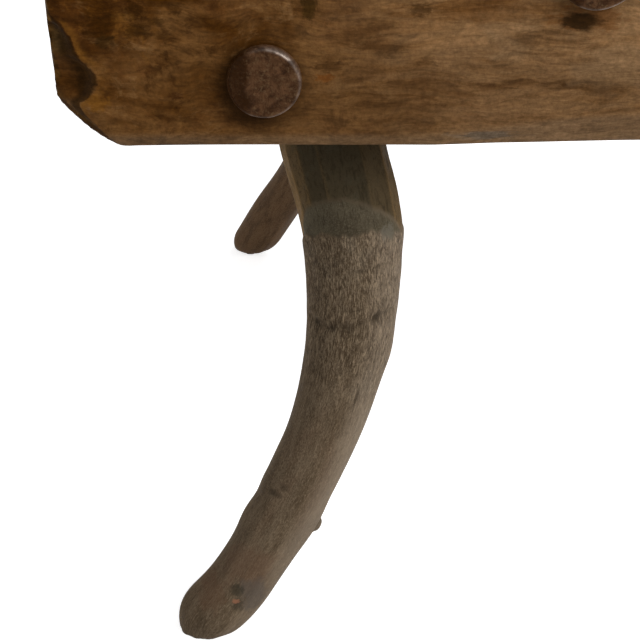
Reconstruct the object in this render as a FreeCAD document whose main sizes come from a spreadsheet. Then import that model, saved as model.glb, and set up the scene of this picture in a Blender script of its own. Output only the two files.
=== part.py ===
"""A rustic stool: a thick hewn seat on four crooked branch legs, with iron bolts through its edge.

Millimetres. +X runs along the seat, +Y from the front edge to the back edge, +Z up. The origin lies
on the floor, under the middle of the seat.
"""
import FreeCAD, Part
import os
import Sketcher

document = FreeCAD.newDocument("branch_stool")
sheet = document.addObject("Spreadsheet::Sheet", "dims")

dimensions = {
    # Seat: a plank hewn from one log, its ends cut back underneath
    "seat_length": 440,
    "seat_depth": 300,
    "seat_thickness": 100,
    "underside_height": 241,
    "end_cut_length": 24,
    "end_cut_height": 21,
    "edge_round": 3,
    "hewn_corner_width": 17,
    "hewn_corner_depth": 6,
    "hewn_corner_height": 54,
    "hewn_corner_tip": 0.2,
    # Sockets: bored square through the seat, so that the bends of the branches give the splay
    "socket_spread_along": 216,
    "socket_spread_across": 180,
    "tenon_diameter": 32,
    "tenon_root": 8,
    "socket_clearance": 0.15,
    # Wedges driven into the saw cut of each tenon, across the grain of the seat
    "wedge_depth": 45,
    "wedge_thickness": 5,
    "wedge_tip_thickness": 1.2,
    # Trimmed twig on each branch, and the worn rim of each foot
    "twig_base_diameter": 11,
    "twig_tip_diameter": 7,
    "twig_reach": 4,
    "foot_wear": 5,
    "foot_wear_height": 10,
    # Front left branch: each branch bends between its shoulder, two bend points and its foot
    "front_left_shoulder_diameter": 50,
    "front_left_upper_out": 110,
    "front_left_upper_reach": 106,
    "front_left_upper_height": 204,
    "front_left_upper_diameter": 56,
    "front_left_lower_out": 50,
    "front_left_lower_reach": 132,
    "front_left_lower_height": 140,
    "front_left_lower_diameter": 33,
    "front_left_foot_out": 165,
    "front_left_foot_reach": 190,
    "front_left_foot_diameter": 31,
    # Back left branch
    "back_left_shoulder_diameter": 46,
    "back_left_upper_out": 84,
    "back_left_upper_reach": 107,
    "back_left_upper_height": 200,
    "back_left_upper_diameter": 46,
    "back_left_lower_out": 92,
    "back_left_lower_reach": 136,
    "back_left_lower_height": 130,
    "back_left_lower_diameter": 21,
    "back_left_foot_out": 164,
    "back_left_foot_reach": 192,
    "back_left_foot_diameter": 31,
    # Front right branch
    "front_right_shoulder_diameter": 49,
    "front_right_upper_out": 124,
    "front_right_upper_reach": 100,
    "front_right_upper_height": 204,
    "front_right_upper_diameter": 54,
    "front_right_lower_out": 84,
    "front_right_lower_reach": 142,
    "front_right_lower_height": 132,
    "front_right_lower_diameter": 31,
    "front_right_foot_out": 170,
    "front_right_foot_reach": 192,
    "front_right_foot_diameter": 31,
    # Back right branch
    "back_right_shoulder_diameter": 47,
    "back_right_upper_out": 102,
    "back_right_upper_reach": 116,
    "back_right_upper_height": 198,
    "back_right_upper_diameter": 50,
    "back_right_lower_out": 156,
    "back_right_lower_reach": 128,
    "back_right_lower_height": 128,
    "back_right_lower_diameter": 29,
    "back_right_foot_out": 163,
    "back_right_foot_reach": 190,
    "back_right_foot_diameter": 31,
    # Bolts: they run through the seat beside the tenons and keep it from splitting
    "bolt_diameter": 12,
    "bolt_clearance": 0.25,
    "bolt_wall": 3.5,
    "low_bolt_height": 29,
    "high_bolt_drop": 27,
    "head_diameter": 31,
    "head_height": 5,
    "head_bevel": 2,
    "square_neck_length": 8,
    "bolt_end_reach": 4,
    "bolt_end_bevel": 1.5,
    "washer_width": 34,
    "washer_thickness": 2.5,
    "nut_width": 20,
    "nut_thickness": 10,
    "nut_bevel": 1.2,
}
for row, (name, value) in enumerate(dimensions.items(), start=1):
    sheet.set(f"A{row}", name)
    sheet.set(f"B{row}", str(value))
    sheet.setAlias(f"B{row}", name)
document.recompute()

TOP_HEIGHT = "(dims.underside_height + dims.seat_thickness)"
SOCKET_OUT = "dims.socket_spread_along / 2"
SOCKET_REACH = "dims.socket_spread_across / 2"
FRONT = "(-dims.seat_depth / 2)"
BACK = "(dims.seat_depth / 2)"
LOW_BOLT_HEIGHT = "(dims.underside_height + dims.low_bolt_height)"
HIGH_BOLT_HEIGHT = f"({TOP_HEIGHT} - dims.high_bolt_drop)"
SIDE_BOLT_OUT = f"({SOCKET_OUT} + dims.tenon_diameter / 2 + dims.bolt_wall + dims.bolt_diameter / 2)"
BOLT_BORE_RADIUS = "dims.bolt_diameter / 2 + dims.bolt_clearance"
BOLTS = {
    "left": (f"-{SIDE_BOLT_OUT}", LOW_BOLT_HEIGHT),
    "middle": ("0", HIGH_BOLT_HEIGHT),
    "right": (SIDE_BOLT_OUT, LOW_BOLT_HEIGHT),
}

# The side of the seat and the end of it that each leg stands at
LEGS = {"front_left": (-1, -1), "back_left": (-1, 1), "front_right": (1, -1), "back_right": (1, 1)}
# A branch's sections have this many sides. Its whittled neck has this many flats, which end at a share of
# the way down it and run out into the bark at the next, and the round sections follow
BRANCH_SIDES = 18
NECK_FLATS = 6
FLATS_END = 0.34
BARK_START = 0.43
SECTION_SHARES = (0.57, 0.72, 0.87)
LOFT_DEGREE = 3
# The side of each branch's sections at which a flat of its neck begins
FIRST_FLAT = {"front_left": 2, "back_left": 1, "front_right": 2, "back_right": 0}
# Weights of a curve's four places that give its direction at the foot
END_WEIGHTS = (0, 0, 1, -1)
# Each branch's trimmed twig: its share of the way down and the way it points
TWIGS = {
    "front_left": (0.885, "vector(1; -0.2; 0.1)"),
    "back_left": (0.7, "vector(-1; 0.6; 0.5)"),
    "front_right": (0.72, "vector(-1; -0.5; 0.6)"),
    "back_right": (0.55, "vector(0.6; 1; 0.5)"),
}


def origin_plane(body, role):
    """The named plane of a body's own origin."""
    for feature in body.Origin.OriginFeatures:
        if feature.Role == role:
            return feature
    raise ValueError(role)


def add_sketch(body, name, role, offset="0"):
    """A sketch on one of the body's origin planes, moved along the plane's normal."""
    sketch = body.newObject("Sketcher::SketchObject", name)
    sketch.AttachmentSupport = [(origin_plane(body, role), "")]
    sketch.MapMode = "FlatFace"
    sketch.setExpression("AttachmentOffset.Base.z", offset)
    return sketch


def add_polygon(sketch, corners):
    """A closed run of lines whose corners lie at pairs of expressions measured from the sketch's origin."""
    first = sketch.GeometryCount
    count = len(corners)
    guesses = [sketch.evalExpression(f"vector({x}; {y}; 0)") for x, y in corners]
    for index in range(count):
        sketch.addGeometry(Part.LineSegment(guesses[index], guesses[(index + 1) % count]), False)
    for index, (x, y) in enumerate(corners):
        line = first + index
        before = first + (index - 1) % count
        sketch.addConstraint(Sketcher.Constraint("Coincident", before, 2, line, 1))
        for kind, expression in (("DistanceX", x), ("DistanceY", y)):
            value = sketch.evalExpression(f"({expression}) * 1")
            datum = sketch.addConstraint(Sketcher.Constraint(kind, -1, 1, line, 1, float(value)))
            sketch.setExpression(f"Constraints[{datum}]", expression)


def add_square(sketch, x, z, half_width):
    """A square of the given half width about a point."""
    add_polygon(sketch, [
        (f"{x} - ({half_width})", f"{z} - ({half_width})"),
        (f"{x} + ({half_width})", f"{z} - ({half_width})"),
        (f"{x} + ({half_width})", f"{z} + ({half_width})"),
        (f"{x} - ({half_width})", f"{z} + ({half_width})"),
    ])


def add_circle(sketch, x, y, radius):
    """A circle whose centre and radius are expressions."""
    centre = sketch.evalExpression(f"vector({x}; {y}; 0)")
    size = float(sketch.evalExpression(f"({radius}) * 1"))
    circle = sketch.addGeometry(Part.Circle(centre, FreeCAD.Vector(0, 0, 1), size), False)
    for kind, expression, value in (("DistanceX", x, centre.x), ("DistanceY", y, centre.y)):
        datum = sketch.addConstraint(Sketcher.Constraint(kind, -1, 1, circle, 3, value))
        sketch.setExpression(f"Constraints[{datum}]", expression)
    datum = sketch.addConstraint(Sketcher.Constraint("Radius", circle, size))
    sketch.setExpression(f"Constraints[{datum}]", radius)


def add_pad(body, name, profile, length, symmetric=False, reverse=False):
    """A prism raised from a sketch."""
    pad = body.newObject("PartDesign::Pad", name)
    pad.Profile = profile
    pad.setExpression("Length", length)
    pad.SideType = "Symmetric" if symmetric else "One side"
    pad.Reversed = reverse
    return pad


def add_pocket(body, name, profile, length, symmetric=False):
    """A recess cut from a sketch, which has to take material away."""
    document.recompute()
    before = body.Shape.Volume
    pocket = body.newObject("PartDesign::Pocket", name)
    pocket.Profile = profile
    pocket.setExpression("Length", length)
    pocket.SideType = "Symmetric" if symmetric else "One side"
    document.recompute()
    if not body.Shape.Volume < before:
        raise RuntimeError(f"{name} cuts nothing")
    return pocket


def make_seat():
    """The plank: end cuts underneath, eased edges, hewn corners, four sockets and three bolt bores."""
    body = document.addObject("PartDesign::Body", "seat_slab")
    half_length = "dims.seat_length / 2"
    bottom_end = f"({half_length} - dims.end_cut_length)"
    cut_top = "dims.underside_height + dims.end_cut_height"
    outline = add_sketch(body, "seat_outline", "XZ_Plane")
    add_polygon(outline, [
        (f"-{bottom_end}", "dims.underside_height"),
        (bottom_end, "dims.underside_height"),
        (half_length, cut_top),
        (half_length, TOP_HEIGHT),
        (f"-{half_length}", TOP_HEIGHT),
        (f"-{half_length}", cut_top),
    ])
    plank = add_pad(body, "plank", outline, "dims.seat_depth", symmetric=True)
    document.recompute()

    faces = enumerate(plank.Shape.Faces, start=1)
    level = [f"Face{number}" for number, face in faces if not face.BoundBox.ZLength > face.Tolerance]
    eased = body.newObject("PartDesign::Fillet", "eased_edges")
    eased.Base = (plank, level)
    eased.setExpression("Radius", "dims.edge_round")
    document.recompute()

    # The axe took the front left arris back in one slope that widens downwards, and the other three alike
    corner_x = f"-{half_length}"
    slope_rise = "dims.hewn_corner_height"
    low = add_sketch(body, "hewn_corner_low", "XY_Plane", "dims.underside_height")
    high = add_sketch(body, "hewn_corner_high", "XY_Plane", f"{cut_top} + {slope_rise}")
    low_share = f"(1 + dims.end_cut_height / {slope_rise})"
    high_share = "(dims.hewn_corner_tip / dims.hewn_corner_width)"
    for sketch, share in ((low, low_share), (high, high_share)):
        add_polygon(sketch, [
            (corner_x, FRONT),
            (f"{corner_x} + dims.hewn_corner_width * {share}", FRONT),
            (corner_x, f"{FRONT} + dims.hewn_corner_depth * {share}"),
        ])
    hewn = body.newObject("PartDesign::SubtractiveLoft", "hewn_corner")
    hewn.Profile = low
    hewn.Sections = [high]
    hewn.Ruled = True
    document.recompute()
    corners = body.newObject("PartDesign::MultiTransform", "hewn_corners")
    corners.Originals = [hewn]
    mirrors = []
    for role in ("YZ_Plane", "XZ_Plane"):
        mirror = document.addObject("PartDesign::Mirrored", f"hewn_corner_{role}")
        mirror.MirrorPlane = (origin_plane(body, role), [""])
        body.addObject(mirror)
        mirrors.append(mirror)
    corners.Transformations = mirrors
    body.Tip = corners
    document.recompute()

    sockets = add_sketch(body, "socket_circles", "XY_Plane", TOP_HEIGHT)
    for side in ("-", ""):
        for end in ("-", ""):
            radius = "dims.tenon_diameter / 2 + dims.socket_clearance"
            add_circle(sockets, f"{side}{SOCKET_OUT}", f"{end}{SOCKET_REACH}", radius)
    add_pocket(body, "sockets", sockets, "dims.seat_thickness")

    bores = add_sketch(body, "bolt_circles", "XZ_Plane")
    for x, z in BOLTS.values():
        add_circle(bores, x, z, BOLT_BORE_RADIUS)
    add_pocket(body, "bolt_bores", bores, "dims.seat_depth", symmetric=True)

    recesses = add_sketch(body, "bolt_squares", "XZ_Plane", BACK)
    for x, z in BOLTS.values():
        add_square(recesses, x, z, BOLT_BORE_RADIUS)
    add_pocket(body, "square_recesses", recesses, "dims.square_neck_length + dims.bolt_clearance")
    return body


def make_bolt(place, x, z):
    """A forged bolt: bevelled round head, square neck that bites the wood, long shank with an eased end."""
    body = document.addObject("PartDesign::Body", f"bolt_{place}")
    head_radius = "dims.head_diameter / 2"
    shank_radius = "dims.bolt_diameter / 2"
    face = f"({FRONT} - dims.head_height)"
    tail = f"({BACK} + dims.washer_thickness + dims.nut_thickness + dims.bolt_end_reach)"
    profile = add_sketch(body, f"bolt_{place}_profile", "YZ_Plane")
    add_polygon(profile, [
        (face, "0"),
        (face, f"{head_radius} - dims.head_bevel"),
        (f"{face} + dims.head_bevel", head_radius),
        (FRONT, head_radius),
        (FRONT, shank_radius),
        (f"{tail} - dims.bolt_end_bevel", shank_radius),
        (tail, f"{shank_radius} - dims.bolt_end_bevel"),
        (tail, "0"),
    ])
    turned = body.newObject("PartDesign::Revolution", f"bolt_{place}_turned")
    turned.Profile = profile
    turned.ReferenceAxis = (profile, ["H_Axis"])
    turned.Angle = 360
    document.recompute()
    square = add_sketch(body, f"bolt_{place}_square", "XZ_Plane", BACK)
    add_square(square, "0", "0", shank_radius)
    add_pad(body, f"bolt_{place}_neck", square, "dims.square_neck_length", reverse=True)
    body.setExpression("Placement.Base.x", x)
    body.setExpression("Placement.Base.z", z)
    return body


def make_washer(place, x, z):
    """A square iron plate on the back edge, punched for the bolt."""
    body = document.addObject("PartDesign::Body", f"washer_{place}")
    outline = add_sketch(body, f"washer_{place}_outline", "XZ_Plane", FRONT)
    add_square(outline, "0", "0", "dims.washer_width / 2")
    add_circle(outline, "0", "0", BOLT_BORE_RADIUS)
    add_pad(body, f"washer_{place}_plate", outline, "dims.washer_thickness", reverse=True)
    body.setExpression("Placement.Base.x", x)
    body.setExpression("Placement.Base.z", z)
    return body


def make_nut(place, x, z):
    """A square nut drawn up against the washer, its outer rim bevelled."""
    body = document.addObject("PartDesign::Body", f"nut_{place}")
    seat = f"{FRONT} - dims.washer_thickness"
    outline = add_sketch(body, f"nut_{place}_outline", "XZ_Plane", seat)
    add_square(outline, "0", "0", "dims.nut_width / 2")
    add_circle(outline, "0", "0", BOLT_BORE_RADIUS)
    block = add_pad(body, f"nut_{place}_block", outline, "dims.nut_thickness", reverse=True)
    document.recompute()
    middle = block.Shape.CenterOfMass.y
    rim = []
    for number, edge in enumerate(block.Shape.Edges, start=1):
        straight = edge.Curve.TypeId == "Part::GeomLine"
        if straight and edge.BoundBox.YMin > middle:
            rim.append(f"Edge{number}")
    bevel = body.newObject("PartDesign::Chamfer", f"nut_{place}_bevel")
    bevel.Base = (block, rim)
    bevel.setExpression("Size", "dims.nut_bevel")
    body.setExpression("Placement.Base.x", x)
    body.setExpression("Placement.Base.z", z)
    return body


class Branch:
    """The centre line and taper of one leg: a cubic curve from the shoulder by two bends to the sole."""

    def __init__(self, leg, side, end):
        self.leg = leg
        self.signs = {"out": side, "reach": end}

    def station(self, place, quantity):
        """The expression for a value at one of the four places that shape the curve."""
        fixed = {
            ("shoulder", "out"): SOCKET_OUT,
            ("shoulder", "reach"): SOCKET_REACH,
            ("shoulder", "height"): "dims.underside_height",
            ("foot", "height"): "0",
        }
        name = f"dims.{self.leg}_{place}_{quantity}"
        return fixed.get((place, quantity), name)

    def mix(self, quantity, weights):
        """A weighted sum of a value's four stations, signed for this leg's side of the seat."""
        places = ("shoulder", "upper", "lower", "foot")
        terms = [f"{weight:.5f} * {self.station(place, quantity)}" for place, weight in zip(places, weights)]
        return f"{self.signs.get(quantity, 1)} * ({' + '.join(terms)})"

    def value(self, quantity, share):
        """A value at a share of the way down the curve."""
        rest = 1 - share
        return self.mix(quantity, (rest ** 3, 3 * share * rest ** 2, 3 * share ** 2 * rest, share ** 3))

    def point(self, share):
        """The centre of the branch at a share of the way down."""
        return f"vector({'; '.join(self.value(name, share) for name in ('out', 'reach', 'height'))})"

    def lean(self):
        """The turn about the upright that points a section's start the way the branch leans at its foot."""
        out, reach = (self.mix(name, END_WEIGHTS) for name in ("out", "reach"))
        return f"rotation(vector(0; 0; 1); atan2({reach}; {out}))"

    def upward(self, share):
        """The direction of the branch there, pointing back up to the seat."""
        rest = 1 - share
        weights = (rest ** 2, 2 * share * rest - rest ** 2, share ** 2 - 2 * share * rest, -share ** 2)
        return f"vector({'; '.join(self.mix(name, weights) for name in ('out', 'reach', 'height'))})"


def facing(point, direction):
    """A placement at a point with its own Z turned to a direction."""
    upright = "vector(0; 0; 1)"
    turn = f"rotation(vcross({upright}; {direction}); vangle({upright}; {direction}))"
    return f"placement({point}; {turn})"


def across(branch, share):
    """The placement of a section square to the branch."""
    upright = facing(branch.point(share), branch.upward(share))
    return f"{upright} * placement(vector(0; 0; 0); {branch.lean()})"


def add_outline(name, place, corners):
    """A flat closed outline at a placement."""
    outline = document.addObject("Sketcher::SketchObject", name)
    add_polygon(outline, corners)
    outline.setExpression("Placement", place)
    return outline


def make_neck_outline(branch, name, place, share, narrowing="1"):
    """A section whose round is whittled to flats that meet on the bark, widened where it slants across."""
    leg = branch.leg
    per_flat = BRANCH_SIDES // NECK_FLATS
    depth = f"{branch.value('diameter', share)} / 2 / {narrowing} * cos(180deg / {NECK_FLATS})"
    corners = []
    for index in range(BRANCH_SIDES):
        angle = f"{index} * 360deg / {BRANCH_SIDES}"
        sides_along = (index - FIRST_FLAT[leg]) % per_flat
        from_middle = f"180deg / {NECK_FLATS} - {sides_along} * 360deg / {BRANCH_SIDES}"
        distance = f"({depth} / cos({from_middle}))"
        corners.append((f"{distance} * cos({angle})", f"{distance} * sin({angle})"))
    return add_outline(f"{name}_{leg}", place, corners)


def make_round_section(branch, name, share):
    """A round section square to the branch."""
    section = document.addObject("Part::RegularPolygon", f"{name}_{branch.leg}")
    section.Polygon = BRANCH_SIDES
    section.setExpression("Circumradius", f"{branch.value('diameter', share)} / 2")
    section.setExpression("Placement", across(branch, share))
    return section


def make_foot_ovals(branch):
    """Two level ovals where the slanting branch is cut off: its full width, and the worn sole under it."""
    slant = branch.upward(1)
    rise = f"({branch.mix('height', END_WEIGHTS)})"
    radius = f"dims.{branch.leg}_foot_diameter / 2"
    stretch = f"sqrt(cos(vangle(vector(0; 0; 1); {slant})))"
    ovals = []
    for name, level, wear in (("ankle", "dims.foot_wear_height", "0"), ("sole", "0", "dims.foot_wear")):
        corners = []
        for index in range(BRANCH_SIDES):
            angle = f"{index} * 360deg / {BRANCH_SIDES}"
            along = f"({radius} / {stretch} - {wear}) * cos({angle})"
            sideways = f"({radius} - {wear}) * sin({angle})"
            corners.append((along, sideways))
        centre = f"{branch.point(1)} + {slant} * ({level} / {rise})"
        ovals.append(add_outline(f"{name}_{branch.leg}", f"placement({centre}; {branch.lean()})", corners))
    return ovals


def add_loft(name, sections, ruled):
    """A solid through sections, with straight or smooth runs between them."""
    loft = document.addObject("Part::Loft", name)
    loft.Sections = sections
    loft.Solid = True
    loft.Ruled = ruled
    loft.MaxDegree = LOFT_DEGREE
    return loft


def make_leg_and_wedge(leg, side, end):
    """A crooked branch with its whittled neck, round tenon and trimmed twig, and the wedge in its tenon."""
    branch = Branch(leg, side, end)

    # The shoulder is sawn level, so that it bears on the underside of the seat
    shoulder_place = f"placement({branch.point(0)}; {branch.lean()})"
    shoulder_slant = f"cos(vangle(vector(0; 0; 1); {branch.upward(0)}))"
    shoulder = make_neck_outline(branch, "shoulder", shoulder_place, 0, shoulder_slant)
    flats_end = make_neck_outline(branch, "flats_end", across(branch, FLATS_END), FLATS_END)
    bark_start = make_round_section(branch, "bark_start", BARK_START)
    neck = add_loft(f"neck_{leg}", [shoulder, flats_end, bark_start], ruled=True)
    sections = [bark_start]
    for number, share in enumerate(SECTION_SHARES, start=1):
        sections.append(make_round_section(branch, f"section_{number}", share))
    bark = add_loft(f"bark_{leg}", sections + make_foot_ovals(branch), ruled=False)

    socket = (branch.value("out", 0), branch.value("reach", 0))
    tenon = document.addObject("Part::Cylinder", f"tenon_{leg}")
    tenon.setExpression("Radius", "dims.tenon_diameter / 2")
    tenon.setExpression("Height", "dims.seat_thickness + dims.tenon_root")
    tenon.setExpression("Placement.Base.x", socket[0])
    tenon.setExpression("Placement.Base.y", socket[1])
    tenon.setExpression("Placement.Base.z", "dims.underside_height - dims.tenon_root")

    twig = document.addObject("Part::Cone", f"twig_{leg}")
    share, direction = TWIGS[leg]
    twig.setExpression("Radius1", "dims.twig_base_diameter / 2")
    twig.setExpression("Radius2", "dims.twig_tip_diameter / 2")
    twig.setExpression("Height", f"{branch.value('diameter', share)} / 2 + dims.twig_reach")
    twig.setExpression("Placement", facing(branch.point(share), direction))

    whole = document.addObject("Part::MultiFuse", f"whole_{leg}")
    whole.Shapes = [neck, bark, tenon, twig]

    blank = document.addObject("Part::Wedge", f"wedge_blank_{leg}")
    half_tip = "dims.wedge_tip_thickness / 2"
    half_top = "dims.wedge_thickness / 2"
    limits = {
        "Xmin": f"-{half_tip}", "Xmax": half_tip, "X2min": f"-{half_top}", "X2max": half_top,
        "Ymin": "0", "Ymax": "dims.wedge_depth",
        "Zmin": "-dims.tenon_diameter", "Zmax": "dims.tenon_diameter",
        "Z2min": "-dims.tenon_diameter", "Z2max": "dims.tenon_diameter",
    }
    for name, expression in limits.items():
        blank.setExpression(name, expression)
    point = f"vector({socket[0]}; {socket[1]}; {TOP_HEIGHT} - dims.wedge_depth)"
    blank.setExpression("Placement", f"placement({point}; rotation(vector(1; 0; 0); 90))")

    finished = document.addObject("Part::Cut", f"leg_{leg}")
    finished.Base = whole
    finished.Tool = blank
    wedge = document.addObject("Part::Common", f"wedge_{leg}")
    wedge.Base = blank
    wedge.Tool = tenon
    return [finished, wedge]


pieces = [make_seat()]
for leg, (side, end) in LEGS.items():
    pieces += make_leg_and_wedge(leg, side, end)
for place, (x, z) in BOLTS.items():
    pieces += [make_bolt(place, x, z), make_washer(place, x, z), make_nut(place, x, z)]
document.recompute()

for item in document.Objects:
    if "Invalid" in item.State or "Error" in item.State:
        raise RuntimeError(f"{item.Label} did not build: {item.State}")
    if item.TypeId == "Part::Cut" and not item.Shape.Volume < item.Base.Shape.Volume:
        raise RuntimeError(f"{item.Label} cuts nothing")
for piece in pieces:
    if piece.Shape.isNull() or not piece.Shape.isValid():
        raise RuntimeError(f"{piece.Label} has no valid shape")

os.makedirs("parts", exist_ok=True)
for piece in pieces:
    piece.Shape.exportStep(f"parts/{piece.Label}.step")
    print(f"{piece.Label}: {len(piece.Shape.Solids)} solid, {piece.Shape.Volume / 1000:.1f} cm3")
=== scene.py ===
import math

import bpy
import numpy as np
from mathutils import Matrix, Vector, noise


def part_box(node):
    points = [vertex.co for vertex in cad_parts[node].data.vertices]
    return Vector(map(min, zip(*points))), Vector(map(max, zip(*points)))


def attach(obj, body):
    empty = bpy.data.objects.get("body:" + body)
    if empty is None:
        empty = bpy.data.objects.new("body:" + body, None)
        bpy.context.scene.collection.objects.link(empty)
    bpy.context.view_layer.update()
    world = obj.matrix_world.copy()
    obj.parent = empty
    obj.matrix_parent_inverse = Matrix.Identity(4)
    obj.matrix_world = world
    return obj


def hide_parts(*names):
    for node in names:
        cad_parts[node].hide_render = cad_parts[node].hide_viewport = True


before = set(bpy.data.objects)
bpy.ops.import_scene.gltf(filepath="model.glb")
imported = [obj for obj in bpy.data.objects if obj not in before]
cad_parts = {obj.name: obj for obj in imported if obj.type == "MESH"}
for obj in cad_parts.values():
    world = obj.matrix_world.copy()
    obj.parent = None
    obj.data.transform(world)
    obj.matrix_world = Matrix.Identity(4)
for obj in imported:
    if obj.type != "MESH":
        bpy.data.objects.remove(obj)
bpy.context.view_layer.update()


# Seat: a thick plank hewn from one log, stained dark and worn to a satin sheen. Its ends are cut back
# underneath, the axe took its corners off, and the adze left the faces slightly wavy. It is cut from a
# block and then worn point by point.
def millimetres(place):
    """A place of the frame, which is in metres, in millimetres."""
    return np.round(np.array(place) * 1000, 3)


def middle_of(node):
    """The middle of a solid in millimetres."""
    low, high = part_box(node)
    return millimetres((low + high) / 2)


# The seat's faces, and where the bolts and tenons pass through it. Sizes here and below are in millimetres,
# from the middle of the seat and from the floor, unless a comment says metres.
LEGS = ("front_left", "back_left", "front_right", "back_right")
BOLTS = ("left", "middle", "right")
seat_low, seat_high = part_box("seat_slab")
_, seat_front, seat_underside = millimetres(seat_low)
seat_end, seat_back, seat_top = millimetres(seat_high)
bolt_places = {name: middle_of(f"washer_{name}") * (1, 0, 1) for name in BOLTS}
tenon_places = [middle_of(f"wedge_{leg}") for leg in LEGS]
# Each end is cut back underneath, and swells a little in the middle of the cut
END_CUT_LENGTH = 24
END_CUT_HEIGHT = 21
END_CUT_SWELL = 2.0
# The axe took each upright corner off from this height downwards: so much along, across and down
HEWN_TOP = 316
HEWN_OFF = (17, 6, 54)
EDGE_WEAR = 2
SKIN_STEP = 2.4
# The front left corner shows the marks of the axe, so its skin is finer
FINE_ALONG = -190
FINE_ACROSS = -126
FINE_CUTS = 2
# The adze's waves and finer ones: how long they are in each direction, how high, and how much higher below
ADZE_WAVES = (150, 80, 26)
ADZE_RISE = 0.8
FINE_WAVES = (45, 22, 9)
FINE_RISE = 0.25
ROUGHER_BELOW = 0.8
# Round each bolt and tenon the wood lies flat up to the first distance, and is full of waves at the second
BOLT_FLAT = (14, 32)
TENON_FLAT = (18, 40)
# Where the wear of the front, of its lower edge and of its left corner begins, and where it is full
FRONT_WEAR = (-115, -142)
LOWER_WEAR = (257, 243)
CORNER_WEAR = (-180, -206)
# A plane took a bevel off the lower front edge, which hangs down a little: the bevel's upper line at places
# along the seat, its slope, and how far the edge hangs down
PLANED_TOP = ((-62, -34, -9, 24, 110, 190), (241, 250, 253, 256, 257, 241))
PLANED_SLOPE = 0.28
EDGE_SAG = 1.3
# The front left corner stands out fuller than the others, by so much at each height
FULLER = (
    (241, 246, 252, 257, 259.5, 261, 262.3, 264, 266, 270, 341),
    (0.2, 2.3, 3.8, 5.2, 5.35, 5.2, 4.3, 3.0, 2.2, 1.7, 1.9),
)
# Chips flew off that corner up to a winding ridge. By height: the ridge's place along the seat, how deep
# the chips are, how strongly the ridge is rubbed and painted with a highlight, and how steep the wall beside
# it is
RIDGE = (
    (244, 250, 252.2, 257, 259.5, 261.5, 264, 268, 272, 275, 278, 281, 288, 293, 296.5, 300),
    (-201.5, -206, -208.1, -211, -210.8, -207.4, -204.7, -203.6, -203.2, -204.3, -208, -210.3, -212, -214.4,
     -218.3, -223),
)
CHIP_DEPTH = (
    (244, 250, 257, 262, 269, 275, 280, 288, 296, 302),
    (0.8, 2.2, 1.6, 1.4, 3.6, 3.2, 1.5, 3.4, 2.2, 0),
)
RIDGE_LIGHT_AND_WEAR = (
    (244, 252, 256, 262, 266, 275, 279, 293, 297),
    (0.1, 0.1, 0.7, 1, 0.3, 0.3, 0.9, 0.9, 0),
)
WALL_STEEPNESS = (
    (255, 262, 266, 276, 284),
    (1.7, 1, 0.6, 0.6, 1),
)
# How wide that wall is, how the ledge beyond it slopes, and how far back the chips go
CHIP_WALL_WIDTH = 5.5
CHIP_SLOPE = 0.15
CHIP_REACH = -125
# Colours here and below are as a screen shows them, from 0 to 255
DEEP_STAIN = (74, 43, 10)
THIN_STAIN = (112, 77, 41)
PALE_BLOTCH = (138, 101, 62)
DARK_BLOTCH = (52, 29, 6)
RED_WOOD = (90, 54, 25)
DARK_VEIN = (54, 31, 10)
RUBBED_WOOD = (154, 119, 82)
GREYED_WOOD = (126, 104, 78)
LOWER_STAIN = (70, 43, 16)
DARK_MOTTLE = (50, 26, 4)
PALE_MOTTLE = (116, 74, 28)
# A greyish sheen painted on the worn lower front edge
PAINTED_EDGE_SHEEN = (124, 102, 78)
# The ridge: rubbed wood with a painted highlight
LIT_RUBBED_RIDGE = (126, 82, 30)
LOW_LEDGE = (128, 97, 64)
MIDDLE_LEDGE = (84, 50, 17)
HIGH_LEDGE = (98, 75, 43)
# Painted shade on the walls of the chips
CHIP_WALL_SHADE = (42, 26, 7)
# The shadow painted round the bolts
PAINTED_BOLT_SHADOW = (42, 24, 7)
TENON_JOINT = (30, 19, 9)
EARLY_RING = (56, 34, 9)
LATE_RING = (98, 68, 30)
END_CLOUD = (60, 37, 12)
END_BLOTCH = (36, 21, 6)
DRYING_CHECK = (30, 18, 7)
# How dark the shadow painted round each bolt is
BOLT_SHADOWS = {"left": 0.9, "middle": 0.45, "right": 0.8}
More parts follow.
